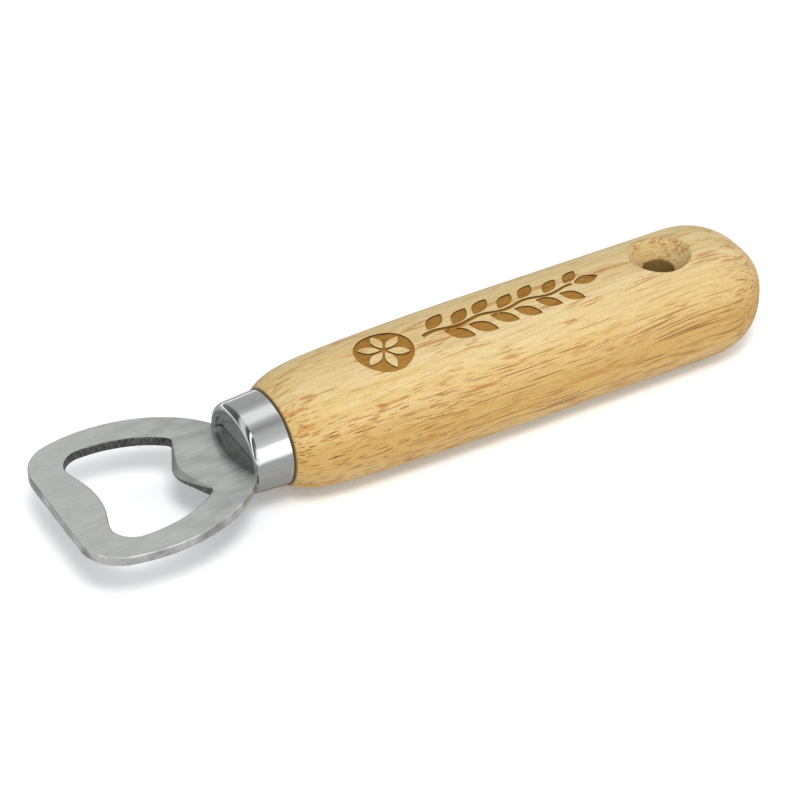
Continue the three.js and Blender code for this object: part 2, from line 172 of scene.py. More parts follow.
# ---- Wood ----
GRAIN_WANDER = (0, 1.4, 4.5)
GRAIN_RIPPLE = (0, 0.18, 0.5)
GRAIN_TILT = (0.1, 0.012, -0.008)  # radians
GRAIN_SHOULDER_PINCH = 0.15  # share by which the grain narrows towards the ferrule
GRAIN_BUTT_PINCH = 0.27  # power of the butt's rounding that the grain follows
GROWTH_BANDS = (
    (0.30, (0.79, 0.655, 0.39, 1)),
    (0.48, (0.76, 0.61, 0.33, 1)),
    (0.62, (0.73, 0.56, 0.26, 1)),
    (0.76, (0.69, 0.485, 0.19, 1)),
)
# Colour of the sides: partly the wood's deeper tone, partly painted shade.
SIDE_TONE_AND_SHADE = (0.80, 0.665, 0.42, 1)
FLAME_COLOUR = (0.50, 0.225, 0.06, 1)
STAIN_COLOUR = (0.64, 0.35, 0.085, 1)
PORE_COLOUR = (0.15, 0.054, 0.006, 1)
PORE_DEPTH = 0.05
TOASTED_TINT = (0.58, 0.385, 0.13, 1)
# Painted shade in the seam where the wood meets the ferrule.
SHOULDER_SEAM_SHADE_COLOUR = (0.10, 0.06, 0.03, 1)

# ---- Studio: metres, watts, and millimetres for the lens and its sensor ----
CAMERA_PLACE = Vector((-0.2392, -0.4078, 0.3662))
CAMERA_AZIMUTH = math.radians(-29.95)
CAMERA_ELEVATION = math.radians(37.09)
CAMERA_LENS = 134.96
SENSOR_WIDTH = 36.0
KEY_PLACE = Vector((-0.17, -0.38, 0.74))
KEY_SIZE = 0.24
KEY_POWER = 3.75
FLOOR_HALF = 3.0
# Out to FLOOR_NEAR the steel mirrors a grey floor that is painted shade.
FLOOR_NEAR = 0.08  # the steel mirrors a grey floor out to here
FLOOR_MIRRORED_WHITE = 0.2  # and the white floor from here
FLOOR_FAR = 0.7
FLOOR_LIFT = 0.13  # glow under the object
FAR_FLOOR_LIFT = 0.5  # glow from FLOOR_FAR outwards

# The tent's tone, from straight out on the near side (0) over the top to the far side (1).
TENT_OVER_HANDLE = (
    (0.0, 2.0), (0.09, 2.0),  # bright card beside the camera
    (0.12, 0.95), (0.21, 0.75), (0.31, 0.66),  # near wall
    (0.42, 0.44), (0.47, 0.44), (0.545, 0.66),  # dimmer strip
    (0.63, 1.2), (0.76, 1.2),  # soft box
    (0.82, 0.70), (0.87, 0.52), (1.0, 0.55),  # far wall
)
TENT_OVER_HEAD = (
    (0.0, 1.4), (0.10, 1.4),  # bright card beside the camera
    (0.16, 0.35), (0.28, 0.12), (0.335, 0.12),  # dark gap
    (0.36, 1.9), (0.42, 1.9),  # narrow bright card
    (0.445, 0.12), (0.56, 0.15),  # dark gap
    (0.63, 0.9), (0.74, 0.9),  # soft box
    (0.80, 0.1), (1.0, 0.25),  # dark far wall
)
TENT_BEHIND_BUTT = (
    (0.0, 0.5), (0.40, 0.3),  # near wall
    (0.45, 1.1), (0.62, 1.1),  # soft box
    (0.67, 0.3), (1.0, 0.5),  # far wall
)

# ---- Fineness ----
RING_STEPS = 320
OUTLINE_STEP = 0.2
SEARCH_STEPS = 60
CUT_MARGIN = 2
CORE_STEP = 0.8
SHARP_ANGLE = math.radians(32)
SLIVER = 0.001  # shorter edges than this are dropped
SAME_PLACE = 1e-3  # closer outline points than this are one
SAME_LEVEL = 1e-9  # metres
SKIN_MARGIN = 0.02  # faces this close to the recess belong to it
EDGE_STEPS = 8
FILLET_STEPS = 10
LIP_STEPS = 14
NOSE_STEPS = 24
SIDE_STEPS = 10
BREAK_STEPS = 8
BUTT_STEPS = 48
LIP_CURVE_STEPS = 60
BORE_STEPS = 128
TANG_BORE_STEPS = 96
NECK_STEPS = 720
ROSETTE_STEPS = 120
STEM_STEPS = 90
LEAF_STEPS = 18


# ---------------------------------------------------------------- mesh helpers
def mesh_object(name, points, faces, material=None):
    mesh = bpy.data.meshes.new(name)
    mesh.from_pydata([tuple(p) for p in np.asarray(points, float) * MM], [], faces)
    bm = bmesh.new()
    bm.from_mesh(mesh)
    bmesh.ops.recalc_face_normals(bm, faces=bm.faces)
    bm.to_mesh(mesh)
    bm.free()
    obj = bpy.data.objects.new(name, mesh)
    bpy.context.scene.collection.objects.link(obj)
    if material:
        mesh.materials.append(material)
    return obj


def ring_points(x, w, h, n, steps):
    turn = (np.arange(steps) + 0.5) / steps * 2 * math.pi
    to_flat = math.cos(math.pi / steps) ** (-2 / n)
    across = np.sign(np.cos(turn)) * np.abs(np.cos(turn)) ** (2 / n)
    up = np.sign(np.sin(turn)) * np.abs(np.sin(turn)) ** (2 / n)
    return np.stack([np.full(steps, x), w * across * to_flat, h * up * to_flat], 1)


def skin_faces(starts, steps):
    """Faces from ring to ring. A start is a ring's first point, and whether the ring is a pole."""
    faces = []
    for (a, a_pole), (b, b_pole) in zip(starts, starts[1:]):
        for j in range(steps):
            k = (j + 1) % steps
            if a_pole:
                faces.append((a, b + j, b + k))
            elif b_pole:
                faces.append((a + j, b, a + k))
            else:
                faces.append((a + j, b + j, b + k, a + k))
    return faces


def loft(name, rings, origin, steps=RING_STEPS, material=None):
    """A closed skin over rings (x, half-width, half-height, roundness). No half-width is a pole."""
    points, starts = [], []
    for x, w, h, n in rings:
        starts.append((len(points), w == 0))
        points.extend([np.array([x, 0.0, 0.0])] if w == 0 else ring_points(x, w, h, n, steps))
    places = np.array(points) + np.array(origin)
    return mesh_object(name, places, skin_faces(starts, steps), material)


def prism(name, outline, holes, z0, z1, material=None):
    """An upright solid on a plane outline, with holes through it."""
    bm = bmesh.new()
    for loop in [outline, *holes]:
        low = [bm.verts.new((x * MM, y * MM, z0 * MM)) for x, y in loop]
        high = [bm.verts.new((x * MM, y * MM, z1 * MM)) for x, y in loop]
        count = len(loop)
        for i in range(count):
            k = (i + 1) % count
            bm.faces.new((low[i], low[k], high[k], high[i]))
    for z in (z0, z1):
        rim = [
            edge
            for edge in bm.edges
            if edge.is_boundary and all(abs(v.co.z - z * MM) < SAME_LEVEL for v in edge.verts)
        ]
        bmesh.ops.triangle_fill(bm, use_beauty=True, edges=rim)
    bmesh.ops.recalc_face_normals(bm, faces=bm.faces)
    mesh = bpy.data.meshes.new(name)
    bm.to_mesh(mesh)
    bm.free()
    if material:
        mesh.materials.append(material)
    obj = bpy.data.objects.new(name, mesh)
    bpy.context.scene.collection.objects.link(obj)
    return obj


def lathe(name, profile, axis_x, steps, material):
    """A solid turned about an upright axis at (axis_x, 0), from (radius, z) pairs."""
    turn = np.arange(steps) / steps * 2 * math.pi
    points, starts = [], []
    for radius, z in profile:
        starts.append((len(points), radius == 0))
        if radius == 0:
            points.append((axis_x, 0, z))
        else:
            x, y = axis_x + radius * np.cos(turn), radius * np.sin(turn)
            points.extend(np.stack([x, y, np.full(steps, z)], 1))
    return mesh_object(name, np.array(points, float), skin_faces(starts, steps), material)


def combined(piece, other, operation):
    modifier = piece.modifiers.new("combine", "BOOLEAN")
    modifier.operation = operation
    modifier.solver = "MANIFOLD"
    modifier.material_mode = "TRANSFER"
    modifier.object = other
    with bpy.context.temp_override(object=piece, active_object=piece):
        bpy.ops.object.modifier_apply(modifier=modifier.name)
    bpy.data.objects.remove(other)
    return piece


def without_slivers(piece):
    """Drops the faces without area that the cuts leave where two outlines almost meet."""
    bm = bmesh.new()
    bm.from_mesh(piece.data)
    bmesh.ops.dissolve_degenerate(bm, dist=SLIVER * MM, edges=bm.edges)
    bmesh.ops.triangulate(bm, faces=[f for f in bm.faces if len(f.verts) > 4])
    bm.to_mesh(piece.data)
    bm.free()
    return piece


def smooth_shaded(piece):
    piece.data.polygons.foreach_set("use_smooth", [True] * len(piece.data.polygons))
    piece.data.set_sharp_from_angle(angle=SHARP_ANGLE)
    return piece


# ---------------------------------------------------------------- plane outlines
def arc(x, y, radius_x, radius_y, start, end):
    steps = max(2, math.ceil(abs(end - start) * max(radius_x, radius_y) / OUTLINE_STEP))
    turn = np.linspace(start, end, steps + 1)
    return list(zip(x + radius_x * np.cos(turn), y + radius_y * np.sin(turn)))


def nearest_on_ellipse(ellipse, x, y):
    centre, length, width = ellipse
    low, high = 0.0, math.pi

    def gap(turn):
        return math.hypot(centre + length * math.cos(turn) - x, width * math.sin(turn) - y)

    for _ in range(SEARCH_STEPS):
        third = (high - low) / 3
        if gap(low + third) < gap(high - third):
            high -= third
        else:
            low += third
    return gap(low), low


def circle_in_ellipse(ellipse, radius, start, direction):
    """Slides a circle from start along direction until it touches the ellipse from inside."""
    centre, length, width = ellipse
    low, high = 0.0, width
    for _ in range(SEARCH_STEPS):
        s = (low + high) / 2
        x, y = start[0] + s * direction[0], start[1] + s * direction[1]
        if nearest_on_ellipse(ellipse, x, y)[0] > radius:
            low = s
        else:
            high = s
    x, y = start[0] + low * direction[0], start[1] + low * direction[1]
    turn = nearest_on_ellipse(ellipse, x, y)[1]
    touch = math.atan2(width * math.sin(turn) - y, centre + length * math.cos(turn) - x)
    return x, y, turn, touch


def mirrored(half):
    """A half outline from one point on the axis to another, made whole and counter-clockwise."""
    kept = [p for i, p in enumerate(half) if i == 0 or math.dist(p, half[i - 1]) > SAME_PLACE]
    near = [(x, -y) for x, y in reversed(kept) if y > SAME_PLACE]
    whole = kept + near
    area = sum(a[0] * b[1] - b[0] * a[1] for a, b in zip(whole, whole[1:] + whole[:1]))
    return whole if area > 0 else whole[::-1]


def head_ellipse():
    width = HEAD_WIDTH / 2
    neck_at = HEAD_REACH + NECK_ENTRY_DEPTH - HEAD_WIDEST_AT
    return HEAD_WIDEST_AT, neck_at / math.sqrt(1 - (NECK_HALF_WIDTH / width) ** 2), width


def tang_half(shoulder_at):
    half, root = TANG_HALF_WIDTH, shoulder_at + TANG_ROOT_RADIUS
    points = arc(
        root, half + TANG_ROOT_RADIUS, TANG_ROOT_RADIUS, TANG_ROOT_RADIUS, -math.pi, -math.pi / 2
    )
    for i in range(TANG_NOTCH_PAIRS):
        at = TANG_END_AT - TANG_END_RADIUS - (TANG_NOTCH_PAIRS - i - 0.5) * TANG_NOTCH_SPACING
        points += arc(at, half, TANG_NOTCH_RADIUS, TANG_NOTCH_RADIUS, -math.pi, 0)
    corner = TANG_END_AT - TANG_END_RADIUS
    points += arc(corner, half - TANG_END_RADIUS, TANG_END_RADIUS, TANG_END_RADIUS, math.pi / 2, 0)
    return points


def head_outline():
    side = head_ellipse()
    x, y, turn, touch = circle_in_ellipse(side, HEAD_CORNER_RADIUS, (HEAD_CORNER_RADIUS, 0), (0, 1))
    shoulder_at = HEAD_REACH + NECK_SHOULDER_DEPTH
    shoulder_turn = math.acos((shoulder_at - side[0]) / side[1])
    half = [(0.0, 0.0)]
    half += arc(x, y, HEAD_CORNER_RADIUS, HEAD_CORNER_RADIUS, math.pi, touch)
    half += arc(side[0], 0, side[1], side[2], turn, shoulder_turn)
    half += tang_half(shoulder_at)
    half += [(TANG_END_AT, 0.0)]
    return mirrored(half)


def lip_half(end_x):
    s = np.linspace(0, 1, LIP_CURVE_STEPS)[:, None]
    a, b = np.array([LIP_CREST_AT, 0]), np.array([LIP_CREST_AT, LIP_CREST_EASE])
    c, d = np.array([end_x, LIP_HALF_WIDTH - LIP_FOOT_EASE]), np.array([end_x, LIP_HALF_WIDTH])
    curve = (1 - s) ** 3 * a + 3 * s * (1 - s) ** 2 * b + 3 * s**2 * (1 - s) * c + s**3 * d
    return [tuple(p) for p in curve]


def opening_outline():
    side = (OPENING_WIDEST_AT, OPENING_REAR_REACH, OPENING_HALF_WIDTH)
    pocket_x = POCKET_FRONT_AT + POCKET_RADIUS
    px, py, p_turn, p_touch = circle_in_ellipse(side, POCKET_RADIUS, (pocket_x, 0), (0, 1))
    pocket_from = math.pi - math.asin((LIP_HALF_WIDTH - py) / POCKET_RADIUS)
    flank = (math.sin(TOOTH_FLANK_ANGLE), math.cos(TOOTH_FLANK_ANGLE))
    tip = TOOTH_TIP_AT + TOOTH_TIP_RADIUS
    gap = TOOTH_TIP_RADIUS + TOOTH_CORNER_RADIUS
    start = (tip - gap * flank[1], gap * flank[0])
    cx, cy, c_turn, c_touch = circle_in_ellipse(side, TOOTH_CORNER_RADIUS, start, flank)
    half = lip_half(px + POCKET_RADIUS * math.cos(pocket_from))
    half += arc(px, py, POCKET_RADIUS, POCKET_RADIUS, pocket_from, p_touch)
    half += arc(side[0], 0, side[1], side[2], p_turn, c_turn)
    half += arc(cx, cy, TOOTH_CORNER_RADIUS, TOOTH_CORNER_RADIUS, c_touch, -TOOTH_FLANK_ANGLE)
    half += arc(tip, 0, TOOTH_TIP_RADIUS, TOOTH_TIP_RADIUS, math.pi - TOOTH_FLANK_ANGLE, math.pi)
    return mirrored(half)


# ---------------------------------------------------------------- node helpers
def node(tree, kind, inputs=None, **settings):
    made = tree.nodes.new(kind)
    for key, value in settings.items():
        setattr(made, key, value)
    for key, value in (inputs or {}).items():
        if isinstance(value, bpy.types.NodeSocket):
            tree.links.new(value, made.inputs[key])
        else:
            made.inputs[key].default_value = value
    return made


def calc(tree, operation, a, b=0.0, clamp=False):
    made = node(tree, "ShaderNodeMath", {0: a, 1: b}, operation=operation, use_clamp=clamp)
    return made.outputs[0]


def blended(tree, factor, a, b, blend="MIX"):
    made = node(tree, "ShaderNodeMix", data_type="RGBA", blend_type=blend)
    for socket, value in ((made.inputs[0], factor), (made.inputs[6], a), (made.inputs[7], b)):
        if isinstance(value, bpy.types.NodeSocket):
            tree.links.new(value, socket)
        else:
            socket.default_value = value
    return made.outputs[2]


def stained(tree, colour, mask, strength, stain):
    return blended(tree, calc(tree, "MULTIPLY", mask, strength), colour, stain)


def ranged(tree, value, low, high, to_low=0.0, to_high=1.0, smooth=True):
    return node(
        tree,
        "ShaderNodeMapRange",
        {0: value, 1: low, 2: high, 3: to_low, 4: to_high},
        interpolation_type="SMOOTHSTEP" if smooth else "LINEAR",
    ).outputs[0]


def ramp(tree, value, stops):
    made = node(tree, "ShaderNodeValToRGB", {0: value})
    elements = made.color_ramp.elements
    while len(elements) < len(stops):
        elements.new(0.5)
    for element, (at, colour) in zip(elements, stops):
        element.position = at
        element.color = colour
    return made.outputs[0]


def darkened(tree, colour, value, low, high, factor=1.0):
    """A colour times a ramp over value, from stop low to stop high, each (position, colour)."""
    return blended(tree, factor, colour, ramp(tree, value, (low, high)), "MULTIPLY")


def scaled(tree, vector, x, y, z, shift=(0, 0, 0)):
    return node(
        tree,
        "ShaderNodeVectorMath",
        {0: vector, 1: (x, y, z), 2: shift},
        operation="MULTIPLY_ADD",
    ).outputs[0]


def noise(tree, vector, detail=2.0, roughness=0.5, distortion=0.0):
    settings = {"Scale": 1.0, "Detail": detail, "Roughness": roughness, "Distortion": distortion}
    return node(tree, "ShaderNodeTexNoise", {"Vector": vector, **settings})


def streaks(tree, place, along, across, detail=2.0, roughness=0.5, shift=(0, 0, 0), distortion=0.0):
    """Noise whose marks are about along millimetres in x and across millimetres in y and z."""
    marks = scaled(tree, place, 1 / along, 1 / across, 1 / across, shift)
    return noise(tree, marks, detail, roughness, distortion).outputs["Fac"]


def object_mm(tree):
    place = node(tree, "ShaderNodeTexCoord").outputs["Object"]
    return scaled(tree, place, 1 / MM, 1 / MM, 1 / MM)


def part_of(tree, vector, axis):
    return node(tree, "ShaderNodeSeparateXYZ", {0: vector}).outputs["XYZ".index(axis)]


def facing(tree, axis):
    return part_of(tree, node(tree, "ShaderNodeNewGeometry").outputs["True Normal"], axis)


def bump(tree, height, distance, strength=1.0):
    return node(
        tree, "ShaderNodeBump", {"Height": height, "Distance": distance, "Strength": strength}
    ).outputs[0]


def surface(material, inputs):
    tree = material.node_tree
    shader = next(n for n in tree.nodes if n.type == "BSDF_PRINCIPLED")
    for key, value in inputs.items():
        if isinstance(value, bpy.types.NodeSocket):
            tree.links.new(value, shader.inputs[key])
        else:
            shader.inputs[key].default_value = value
    return material


def new_material(name):
    material = bpy.data.materials.new(name)
    material.use_nodes = True
    return material, material.node_tree


def grey(value):
    return (value, value, value, 1)


# ---------------------------------------------------------------- materials
def vessels(tree, place, length, spacing, width, shift):
    """Long thin pores along the grain, and the stained wood around them: 1 inside, 0 outside.

    Each pore lies in a cell of length by spacing millimetres, and width is its half width as a
    share of the spacing.
    """
    cells = node(
        tree,
        "ShaderNodeTexVoronoi",
        {"Vector": scaled(tree, place, 1 / length, 1 / spacing, 1 / spacing, shift), "Scale": 1.0},
    )
    draw = node(tree, "ShaderNodeSeparateColor", {0: cells.outputs["Color"]}).outputs[1]
    depth = ranged(tree, draw, 0, 1, 0.55, 1, smooth=False)
    inside = ranged(tree, cells.outputs["Distance"], width, 0.75 * width)
    around = ranged(tree, cells.outputs["Distance"], 2.1 * width, 0.9 * width)
    return calc(tree, "MULTIPLY", inside, depth), calc(tree, "MULTIPLY", around, depth)


def grain_place(tree):
    """Object place in millimetres, bent so that the grain wanders and partly follows the ends."""
    split = node(tree, "ShaderNodeSeparateXYZ", {0: object_mm(tree)})
    at = calc(tree, "MAXIMUM", calc(tree, "SUBTRACT", split.outputs[0], SHOULDER_X), 0)
    swell = calc(tree, "EXPONENT", calc(tree, "MULTIPLY", at, -1 / SHOULDER_SWELL_LENGTH))
    slim = calc(tree, "SUBTRACT", 1, calc(tree, "MULTIPLY", swell, GRAIN_SHOULDER_PINCH))
    reach = ranged(tree, at, HANDLE_LENGTH - BUTT_LENGTH, HANDLE_LENGTH, 0, 0.97, smooth=False)
    butt = calc(tree, "SUBTRACT", 1, calc(tree, "POWER", reach, BUTT_ROUNDNESS))
    slim = calc(tree, "MULTIPLY", slim, calc(tree, "POWER", butt, GRAIN_BUTT_PINCH))
    place = node(
        tree,
        "ShaderNodeCombineXYZ",
        {
            0: split.outputs[0],
            1: calc(tree, "DIVIDE", split.outputs[1], slim),
            2: calc(tree, "DIVIDE", calc(tree, "SUBTRACT", split.outputs[2], AXIS_Z), slim),
        },
    ).outputs[0]
    wander = noise(tree, scaled(tree, place, 1 / 55, 1 / 24, 1 / 24, (3.1, 0.4, 7.7)), 1.5)
    ripple = noise(tree, scaled(tree, place, 1 / 13, 1 / 6, 1 / 6, (9.2, 5.5, 1.3)), 1.0)
    bent = scaled(tree, wander.outputs["Color"], *GRAIN_WANDER, place)
    bent = scaled(tree, ripple.outputs["Color"], *GRAIN_RIPPLE, bent)
    turned = {"Vector": bent, "Rotation": GRAIN_TILT}
    return node(tree, "ShaderNodeVectorRotate", turned, rotation_type="EULER_XYZ").outputs[0]


def wood_colour(tree):
    """Colour of pale open-pored hardwood, its pores and its fibres."""
    place = grain_place(tree)
    split = node(tree, "ShaderNodeSeparateXYZ", {0: object_mm(tree)})
    along, height = split.outputs[0], split.outputs[2]
    colour = ramp(tree, streaks(tree, place, 90, 2.6, 3.0, 0.6, distortion=0.3), GROWTH_BANDS)

    # The sides are a deeper yellow than the top, partly the wood's own tone and partly painted
    # shade, and the tint fades again towards the underside.
    lower = ranged(tree, height, HANDLE_HEIGHT, HANDLE_HEIGHT * 0.5)
    side_tone_and_shade = calc(tree, "MULTIPLY", lower, ranged(tree, height, 0, HANDLE_HEIGHT * 0.5))
    colour = blended(tree, side_tone_and_shade, colour, SIDE_TONE_AND_SHADE, "MULTIPLY")

    # Reddish flames, gathered in patches.
    flame = ranged(tree, streaks(tree, place, 7, 0.55, 3.0, 0.65, (4.4, 8.1, 2.6)), 0.50, 0.58)
    patches = ranged(tree, streaks(tree, place, 14, 3.0, shift=(8.8, 3.4, 5.1)), 0.51, 0.58)
    colour = stained(tree, colour, calc(tree, "MULTIPLY", flame, patches), 0.75, FLAME_COLOUR)

    fibres = streaks(tree, place, 5, 0.17, 4.0, 0.7)
    colour = darkened(tree, colour, fibres, (0.3, (0.84, 0.80, 0.72, 1)), (0.7, grey(1.0)))
    speckle = streaks(tree, place, 0.5, 0.22, 2.0, 0.7)
    colour = darkened(tree, colour, speckle, (0.32, (0.84, 0.81, 0.74, 1)), (0.68, grey(1.0)))

    # Short pores near the ferrule, long ones towards the butt, and few on the top.
    crowd = ranged(tree, streaks(tree, place, 34, 3.6, shift=(6.6, 1.2, 4.9)), 0.32, 0.48, 0.5, 1)
    crowd = calc(tree, "MULTIPLY", crowd, ranged(tree, lower, 0.0, 0.4, 0.3, 1.0))
    rearward = ranged(tree, along, SHOULDER_X + 12, SHOULDER_X + 55)
    long_share = ranged(tree, rearward, 0, 1, 0.25, 1, smooth=False)
    short_share = ranged(tree, rearward, 0, 1, 1, 0.5, smooth=False)
    pores, stains = 0.0, 0.0
    for share, (inside, around) in (
        (long_share, vessels(tree, place, 60, 0.58, 0.26, (0.3, 0.7, 0.1))),
        (long_share, vessels(tree, place, 26, 0.52, 0.26, (5.3, 2.7, 9.1))),
        (short_share, vessels(tree, place, 10, 0.48, 0.27, (1.9, 6.2, 3.4))),
        (short_share, vessels(tree, place, 5, 0.44, 0.28, (7.7, 0.9, 5.6))),
    ):
        pores = calc(tree, "MAXIMUM", pores, calc(tree, "MULTIPLY", inside, share))
        stains = calc(tree, "MAXIMUM", stains, calc(tree, "MULTIPLY", around, share))
    pores = calc(tree, "MULTIPLY", pores, crowd)
    stains = calc(tree, "MULTIPLY", stains, crowd)
    return stained(tree, colour, stains, 0.55, STAIN_COLOUR), pores, fibres


def pore_relief(tree, pores, fibres):
    height = calc(tree, "SUBTRACT", calc(tree, "MULTIPLY", fibres, 0.12), pores)
    return bump(tree, height, PORE_DEPTH * MM, 0.6)


def handle_wood():
    material, tree = new_material("handle_wood")
    colour, pores, fibres = wood_colour(tree)
    colour = stained(tree, colour, pores, 0.95, PORE_COLOUR)
    along = part_of(tree, object_mm(tree), "X")
    # Painted shade in the seam where the wood meets the ferrule.
    shoulder_seam_shade = ranged(tree, along, SHOULDER_X + 0.45, SHOULDER_X + 0.1)
    colour = stained(tree, colour, shoulder_seam_shade, 0.85, SHOULDER_SEAM_SHADE_COLOUR)
    return surface(
        material,
        {
            "Base Color": colour,
            "Roughness": ranged(tree, fibres, 0.3, 0.7, 0.46, 0.6),
            "Normal": pore_relief(tree, pores, fibres),
            "Specular IOR Level": 0.4,
        },
    )


def burned_wood():
    """The sunk floors and walls of the ornament: the same wood, toasted, and darker on the walls."""
    material, tree = new_material("burned_wood")
    colour, pores, fibres = wood_colour(tree)
    colour = blended(tree, 1.0, colour, TOASTED_TINT, "MULTIPLY")
    colour = stained(tree, colour, pores, 0.85, (0.10, 0.035, 0.012, 1))
    mottle = streaks(tree, object_mm(tree), 2.2, 0.7, 3.0)
    colour = darkened(tree, colour, mottle, (0.3, grey(0.72)), (0.7, grey(1.0)), 0.7)
    wall = ranged(tree, facing(tree, "Z"), 0.85, 0.4)
    colour = stained(tree, colour, wall, 0.85, (0.07, 0.028, 0.01, 1))
    return surface(
        material,
        {
            "Base Color": colour,
            "Roughness": ranged(tree, mottle, 0.3, 0.7, 0.68, 0.8),
            "Normal": pore_relief(tree, pores, fibres),
            "Specular IOR Level": 0.25,
        },
    )


def drilled_wood():
    """The inside of the bores: rougher and torn across the grain, with painted shade below the
    countersink.
    """
    material, tree = new_material("drilled_wood")
    colour, pores, _ = wood_colour(tree)
    place = object_mm(tree)
    colour = stained(tree, colour, pores, 0.85, (0.2, 0.1, 0.03, 1))
    torn = noise(tree, scaled(tree, place, 1 / 0.5, 1 / 0.5, 1 / 0.35), 3.0, 0.6).outputs["Fac"]
    colour = darkened(tree, colour, torn, (0.35, grey(0.82)), (0.6, grey(1.0)), 0.5)
    end_grain = ranged(tree, calc(tree, "ABSOLUTE", facing(tree, "X")), 0.15, 0.45)
    pits = ranged(tree, streaks(tree, place, 1.2, 0.42, 2.0, 0.6, (1.7, 4.3, 0.8)), 0.52, 0.62)
    pits = calc(tree, "MULTIPLY", end_grain, pits)
    colour = stained(tree, colour, pits, 0.75, (0.40, 0.20, 0.06, 1))
    # Painted shade inside the bores, below the countersink.
    below_sink = HANDLE_HEIGHT - COUNTERSINK_DEPTH
    bore_shade = ranged(tree, part_of(tree, place, "Z"), below_sink + 0.15, below_sink - 0.65)
    colour = stained(tree, colour, bore_shade, 0.8, (0.25, 0.175, 0.055, 1))
    return surface(
        material,
        {
            "Base Color": colour,
            "Roughness": ranged(tree, torn, 0.3, 0.7, 0.6, 0.8),
            "Normal": bump(tree, calc(tree, "SUBTRACT", torn, pores), 0.2 * MM, 0.8),
            "Specular IOR Level": 0.3,
        },
    )


def brushed_steel():
    """The plate's ground faces: fine lines along it, and darker clouds that grow towards the neck.
    """
    material, tree = new_material("brushed_head_steel")
    place = object_mm(tree)
    lines = streaks(tree, place, 2.2, 0.16, 4.0, 0.75)
    scratches = streaks(tree, place, 8, 0.3, 3.0, 0.6, (4.1, 2.5, 8.3))
    clouds = streaks(tree, place, 7, 3, 3.0, 0.55, (2.2, 7.1, 0))
    colour = ramp(tree, lines, [(0.3, (0.58, 0.60, 0.58, 1)), (0.7, (0.75, 0.77, 0.75, 1))])
    colour = darkened(tree, colour, scratches, (0.35, grey(0.94)), (0.65, grey(1.0)))
    neckward = ranged(
        tree, part_of(tree, place, "X"), HEAD_FRONT_X + 12, FERRULE_FRONT_X - 8, 0.3, 1
    )
    colour = darkened(tree, colour, clouds, (0.36, grey(0.74)), (0.62, grey(0.95)), neckward)
    tangent = node(tree, "ShaderNodeTangent", direction_type="UV_MAP", uv_map="brushing")
    return surface(
        material,
        {
            "Base Color": colour,
            "Metallic": 1.0,
            "Roughness": ranged(tree, scratches, 0.3, 0.7, 0.32, 0.37),
            "Anisotropic": 1.0,
            "Anisotropic Rotation": 0.25,
            "Tangent": tangent.outputs[0],
            "Normal": bump(tree, lines, 0.002 * MM, 0.5),
        },
    )


def cut_steel(name, low, high, contrast, grain):
    """A cut edge in clouds from tone low to tone high, with upright marks grain millimetres wide."""
    material, tree = new_material(name)
    place = object_mm(tree)
    upright = scaled(tree, place, 1 / grain, 1 / grain, 0.3 / grain)
    marks = noise(tree, upright, 3.0, 0.7).outputs["Fac"]
    clouds = streaks(tree, place, 5, 5)
    # On the ground edge, bright clouds reaching white are partly the edge's own uneven tone and
    # partly painted glints.
    colour = ramp(tree, clouds, [(0.35, grey(low)), (0.65, grey(high))])
    colour = darkened(tree, colour, marks, (0.35, grey(contrast)), (0.65, (1.0, 1.0, 0.98, 1)))
    return surface(
        material,
        {
            "Base Color": colour,
            "Metallic": 1.0,
            "Roughness": ranged(tree, clouds, 0.3, 0.7, 0.32, 0.2),
            "Normal": bump(tree, marks, 0.01 * MM, 0.5),
        },
    )


def polished_steel():
    """Formed and polished steel, with faint drawing lines along it."""
    material, tree = new_material("polished_ferrule_steel")
    place = object_mm(tree)
    lines = streaks(tree, place, 6, 0.3, 3.0, 0.6)
    clouds = streaks(tree, place, 3, 3)
    colour = ramp(tree, lines, [(0.3, (0.56, 0.57, 0.57, 1)), (0.7, (0.63, 0.645, 0.645, 1))])
    return surface(
        material,
        {
            "Base Color": colour,
            "Metallic": 1.0,
            "Roughness": ranged(tree, clouds, 0.3, 0.7, 0.05, 0.1),
            "Normal": bump(tree, lines, 0.003 * MM, 0.5),
        },
    )


def recess_steel():
    """The unpolished face of the ferrule's recess: dull, with painted shade just over the plate."""
    material, tree = new_material("satin_recess_steel")
    place = object_mm(tree)
    clouds = streaks(tree, place, 3, 1.5, 3.0, 0.6)
    colour = ramp(tree, clouds, [(0.3, (0.48, 0.495, 0.49, 1)), (0.7, (0.60, 0.615, 0.61, 1))])
    # Painted shade in the corner where the recess face meets the plate.
    plate_seam_shade = ranged(tree, part_of(tree, place, "Z"), PLATE_TOP + 0.7, PLATE_TOP)
    colour = stained(tree, colour, plate_seam_shade, 0.7, grey(0.12))
    return surface(
        material,
        {
            "Base Color": colour,
            "Metallic": 0.75,
            "Roughness": ranged(tree, clouds, 0.3, 0.7, 0.28, 0.38),
            "Normal": bump(tree, clouds, 0.01 * MM, 0.5),
        },
    )


def cured_adhesive():
    material, tree = new_material("cured_adhesive")
    cloud = streaks(tree, object_mm(tree), 3, 1.5, 3.0)
    colour = ramp(tree, cloud, [(0.3, (0.60, 0.54, 0.36, 1)), (0.7, (0.70, 0.65, 0.47, 1))])
    return surface(
        material,
        {
            "Base Color": colour,
            "Roughness": ranged(tree, cloud, 0.3, 0.7, 0.28, 0.42),
            "Normal": bump(tree, cloud, 0.1 * MM, 0.5),
        },
    )


# ---------------------------------------------------------------- the head
def on_tooth(x, y):
    """1 at the middle of the tooth's tip, fading out along its flanks."""
    near = max(0.0, 1 - abs(y) / TOOTH_DRESSED_HALF_WIDTH)
    return near * near * (3 - 2 * near) if TOOTH_DRESSED_FROM < x < TOOTH_DRESSED_TO else 0.0


